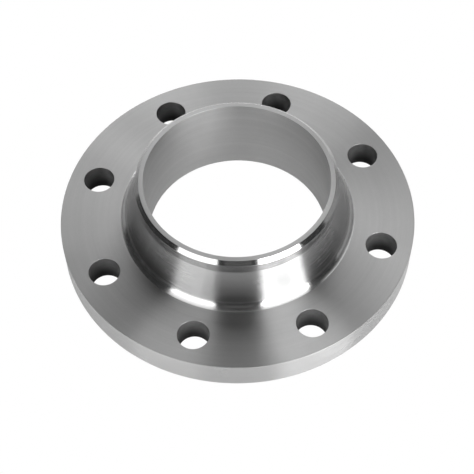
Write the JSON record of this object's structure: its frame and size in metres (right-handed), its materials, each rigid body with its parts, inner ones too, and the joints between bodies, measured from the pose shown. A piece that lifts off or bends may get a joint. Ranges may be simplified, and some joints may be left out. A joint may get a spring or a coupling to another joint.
{
  "type": "weld neck flange",
  "caption": "Pipe flange: a flat bolted ring with a raised sealing face and a tapered hub whose bevelled end is butt welded to a pipe.",
  "frame": {"origin": "centre of the raised contact face, where its plane meets the bore axis", "axes": "+Z along the bore axis, from the contact face towards the weld end; +X midway between two bolt holes"},
  "size_m": [0.3, 0.3, 0.075],
  "materials": {
    "machined_steel": "bare steel, satin, with fine turning marks round the axis"
  },
  "bodies": {
    "root": {"weld_neck_flange": "machined_steel"}
  },
  "joints": []
}
